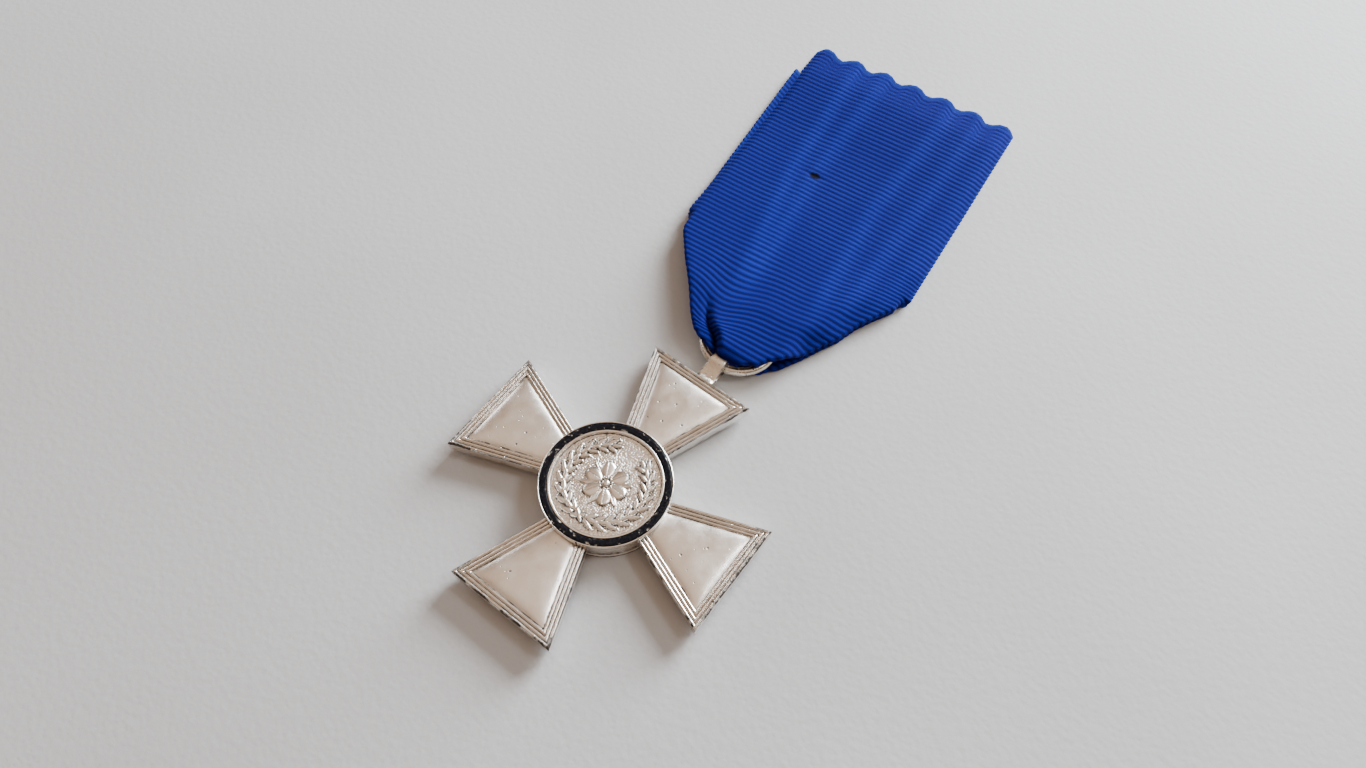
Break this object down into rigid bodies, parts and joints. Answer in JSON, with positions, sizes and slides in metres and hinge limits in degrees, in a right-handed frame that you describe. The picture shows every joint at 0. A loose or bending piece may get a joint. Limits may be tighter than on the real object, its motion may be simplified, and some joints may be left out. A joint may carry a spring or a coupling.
{
  "type": "service medal",
  "caption": "Silvered cross medal with a lacquer-ringed wreath medallion, hung by an eyelet and wire ring from a folded, scalloped blue ribbon.",
  "frame": {"origin": "centre of the reverse disc's flat back, on the surface that the medal lies on", "axes": "+Y from the hub through the top arm to the ribbon, +Z out of the medal's front, +X to the right of the front"},
  "size_m": [0.0412, 0.1037, 0.0039],
  "materials": {
    "silvered_body": "satin",
    "silvered_relief": "satin",
    "silvered_fittings": "satin",
    "black_lacquer": "gloss",
    "ribbon_cloth": "matte"
  },
  "bodies": {
    "cross": {"cross_body": "silvered_body", "front_medallion": "silvered_relief", "lacquer_ring": "black_lacquer", "reverse_medallion": "silvered_body", "medallion_rivet": "silvered_body", "suspension_eyelet": "silvered_fittings"},
    "ring": {"suspension_ring": "silvered_fittings"},
    "ribbon_fold": {"ribbon_loop": "ribbon_cloth"},
    "ribbon_tails": {"ribbon_front_tail": "ribbon_cloth", "ribbon_back_tail": "ribbon_cloth"}
  },
  "joints": [
    {"name": "ring_swing", "type": "hinge", "parent": "cross", "child": "ring", "pos_m": [0.0004, 0.0227, 0.00185], "axis": [1, 0, 0], "range_deg": [-90, 90]},
    {"name": "ribbon_pull", "type": "slide", "parent": "ring", "child": "ribbon_fold", "axis": [-0.0958, 0.9954, 0], "range_m": [0, 0.005]},
    {"name": "ribbon_bend", "type": "hinge", "parent": "ribbon_fold", "child": "ribbon_tails", "pos_m": [-0.00046, 0.03646, 0.00125], "axis": [0.9954, 0.0958, 0], "range_deg": [-60, 60]}
  ]
}
